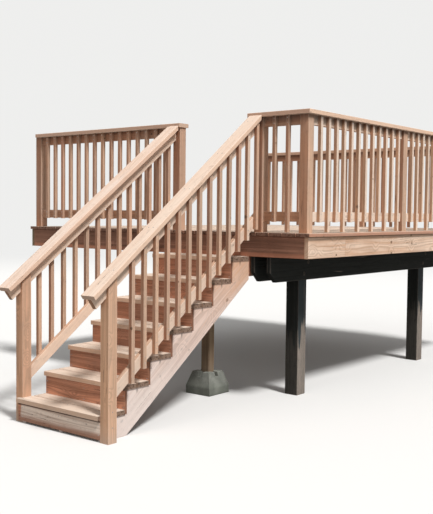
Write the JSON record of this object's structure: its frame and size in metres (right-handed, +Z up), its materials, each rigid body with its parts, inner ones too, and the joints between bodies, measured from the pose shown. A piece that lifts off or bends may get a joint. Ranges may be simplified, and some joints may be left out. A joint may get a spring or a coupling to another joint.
{
  "type": "wooden deck stairs",
  "caption": "Raised timber deck with post-and-baluster railings and a straight flight of open-sided stairs on sawtooth stringers, carried by a ledger, a beam and posts.",
  "frame": {"origin": "middle of the ledger's back face, where the deck's frame lies against the wall: half the deck's length, half the ledger's height", "axes": "+Z up, +Y out of the deck towards the wall, +X along the wall from the stairs' foot to the deck's far end"},
  "size_m": [6.455, 3.755, 2.654],
  "materials": {
    "stringer_wood": "bleached, weathered softwood, matte",
    "tread_wood": "worn stain, matte",
    "riser_wood": "red-brown stain, matte",
    "railing_wood": "tan-brown stain, matte",
    "cap_wood": "pale sun-bleached stain, matte",
    "rim_wood": "weathered tan stain, matte",
    "end_rim_wood": "dark red-brown stain, matte",
    "frame_wood": "plain treated softwood, matte",
    "dark_paint": "dark grey-green paint, worn at the feet, matte",
    "concrete": "cast concrete, matte",
    "steel_fixings": "weathered zinc-coated steel"
  },
  "bodies": {
    "root": {"stringer_right": "stringer_wood", "stringer_middle": "stringer_wood", "stringer_left": "stringer_wood", "tread_1": "tread_wood", "tread_2": "tread_wood", "tread_3": "tread_wood", "tread_4": "tread_wood", "tread_5": "tread_wood", "tread_6": "tread_wood", "tread_7": "tread_wood", "riser_boards": "riser_wood", "newel_right": "railing_wood", "newel_left": "railing_wood", "stair_cap_right": "cap_wood", "stair_cap_left": "cap_wood", "stair_panel_right": "railing_wood", "stair_panel_left": "railing_wood", "stringer_header": "end_rim_wood", "header_cleats": "frame_wood", "support_post": "frame_wood", "pier_block": "concrete", "deck_boards": "tread_wood", "front_rim": "rim_wood", "end_rim_left": "end_rim_wood", "end_rim_right": "rim_wood", "ledger": "frame_wood", "joists": "frame_wood", "beam_planks": "dark_paint", "beam_post_left": "dark_paint", "beam_post_right": "dark_paint", "stair_post_right": "railing_wood", "stair_post_left": "railing_wood", "front_posts": "railing_wood", "side_posts": "railing_wood", "cap_front": "cap_wood", "cap_short": "cap_wood", "cap_left": "cap_wood", "cap_right": "cap_wood", "front_panels": "railing_wood", "stair_end_panels": "railing_wood", "right_end_panels": "railing_wood"}
  },
  "joints": []
}
